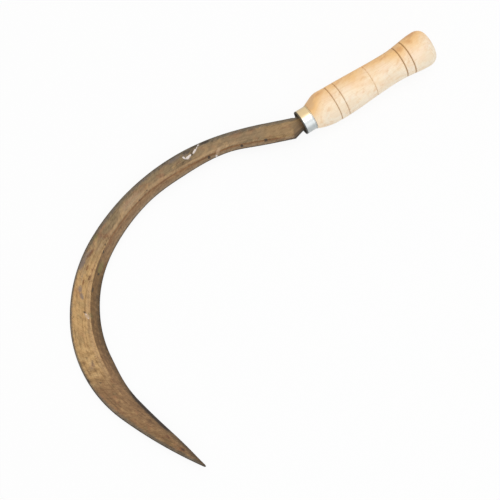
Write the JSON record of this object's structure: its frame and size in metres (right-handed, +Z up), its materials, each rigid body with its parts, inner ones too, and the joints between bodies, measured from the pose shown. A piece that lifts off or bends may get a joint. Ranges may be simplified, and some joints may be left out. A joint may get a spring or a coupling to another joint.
{
  "type": "sickle",
  "caption": "Hand sickle with a hooked, single-bevelled steel blade, its tang set in a turned wooden handle behind a short metal ferrule.",
  "frame": {"origin": "middle of the grip, on the handle's axis, halfway from the ferrule's rear edge to the pommel's face", "axes": "+X forward, from the pommel towards the blade; +Y to the left, towards the inside of the hook; +Z up, off the bench that the tool lies on with its bevelled face up"},
  "size_m": [0.4411, 0.2643, 0.0417],
  "materials": {
    "blade_steel": "forged steel under a thin golden-brown lacquer, satin",
    "ferrule_metal": "drawn tube, bright",
    "handle_wood": "turned pale wood, bare and smooth, with burnt grooves"
  },
  "bodies": {
    "root": {"blade": "blade_steel", "ferrule": "ferrule_metal", "handle": "handle_wood"}
  },
  "joints": []
}
